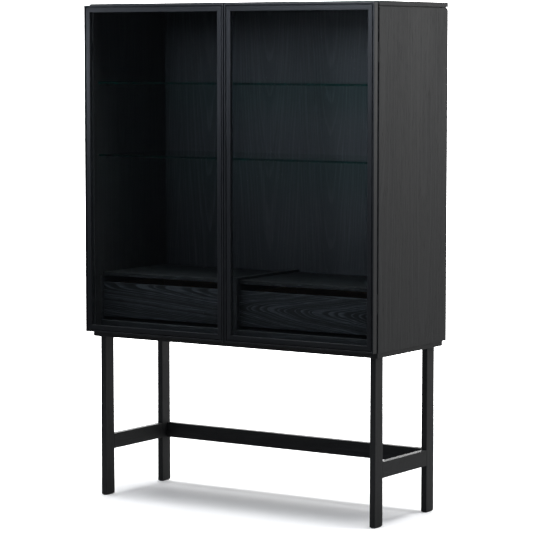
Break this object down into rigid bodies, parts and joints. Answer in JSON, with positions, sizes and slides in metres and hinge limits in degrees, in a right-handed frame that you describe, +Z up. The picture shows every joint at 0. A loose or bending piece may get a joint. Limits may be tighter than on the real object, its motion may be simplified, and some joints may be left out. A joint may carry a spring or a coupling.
{
  "type": "apothecary cabinet",
  "caption": "Black-stained wooden display cabinet on a leg frame, with framed glass doors, glass shelves and small drawers behind the doors.",
  "frame": {"origin": "on the floor, under the middle of the cabinet's box", "axes": "+Z up, +Y towards the back of the cabinet, -Y out of the doors, +X to the right of someone facing the doors"},
  "size_m": [1.1, 0.45, 1.617],
  "materials": {
    "stained_wood": "black stain, brushed open grain, satin",
    "interior_wood": "black stain, satin",
    "door_frame_wood": "black stain, semi-gloss",
    "drawer_front_wood": "black stain, brushed open grain with light lines",
    "bare_wood": "oiled hardwood",
    "door_glass": "clear float glass",
    "shelf_glass": "float glass with green edges",
    "black_steel": "black satin",
    "zinc_steel": "zinc plated",
    "black_plastic": "moulded, matt"
  },
  "bodies": {
    "cabinet": {"top_board": "stained_wood", "case_side_left": "stained_wood", "case_side_right": "stained_wood", "case_floor": "stained_wood", "back_panel": "interior_wood", "base_board": "stained_wood", "leg_front_left": "stained_wood", "leg_front_right": "stained_wood", "leg_rear_left": "stained_wood", "leg_rear_right": "stained_wood", "stretcher_left": "stained_wood", "stretcher_right": "stained_wood", "stretcher_rear": "stained_wood", "glass_shelf_upper": "shelf_glass", "glass_shelf_lower": "shelf_glass", "bay_divider": "interior_wood", "bay_floor_left": "interior_wood", "bay_floor_right": "interior_wood", "bay_deck_left": "interior_wood", "bay_deck_right": "interior_wood", "bay_liner_left": "interior_wood", "bay_liner_right": "interior_wood", "runner_left_inner": "bare_wood", "runner_left_outer": "bare_wood", "runner_right_inner": "bare_wood", "runner_right_outer": "bare_wood", "catch_left": "black_plastic", "catch_right": "black_plastic", "hinge_left_upper_case_leaf": "black_steel", "hinge_left_lower_case_leaf": "black_steel", "hinge_right_upper_case_leaf": "black_steel", "hinge_right_lower_case_leaf": "black_steel"},
    "door_left": {"door_left_hinge_stile": "door_frame_wood", "door_left_meeting_stile": "door_frame_wood", "door_left_top_rail": "door_frame_wood", "door_left_bottom_rail": "door_frame_wood", "door_left_pane": "door_glass", "hinge_left_upper_door_leaf": "black_steel", "hinge_left_lower_door_leaf": "black_steel", "strike_plate_left": "zinc_steel"},
    "door_right": {"door_right_hinge_stile": "door_frame_wood", "door_right_meeting_stile": "door_frame_wood", "door_right_top_rail": "door_frame_wood", "door_right_bottom_rail": "door_frame_wood", "door_right_pane": "door_glass", "hinge_right_upper_door_leaf": "black_steel", "hinge_right_lower_door_leaf": "black_steel", "strike_plate_right": "zinc_steel"},
    "drawer_left": {"drawer_left_front": "drawer_front_wood", "drawer_left_inner_side": "bare_wood", "drawer_left_outer_side": "bare_wood", "drawer_left_back": "bare_wood", "drawer_left_bottom": "bare_wood"},
    "drawer_right": {"drawer_right_front": "drawer_front_wood", "drawer_right_inner_side": "bare_wood", "drawer_right_outer_side": "bare_wood", "drawer_right_back": "bare_wood", "drawer_right_bottom": "bare_wood"}
  },
  "joints": [
    {"name": "door_left_hinge", "type": "hinge", "parent": "cabinet", "child": "door_left", "pos_m": [-0.5465, -0.199, 1.08], "axis": [0, 0, -1], "range_deg": [0, 105]},
    {"name": "door_right_hinge", "type": "hinge", "parent": "cabinet", "child": "door_right", "pos_m": [0.5465, -0.199, 1.08], "axis": [0, 0, 1], "range_deg": [0, 105]},
    {"name": "drawer_left_slide", "type": "slide", "parent": "cabinet", "child": "drawer_left", "axis": [0, -1, 0], "range_m": [0, 0.138]},
    {"name": "drawer_right_slide", "type": "slide", "parent": "cabinet", "child": "drawer_right", "axis": [0, -1, 0], "range_m": [0, 0.138]}
  ],
  "couplings": [
    {"joint": "drawer_left_slide", "follows": "door_left_hinge", "m_per_rad": 0.075},
    {"joint": "drawer_right_slide", "follows": "door_right_hinge", "m_per_rad": 0.075}
  ]
}
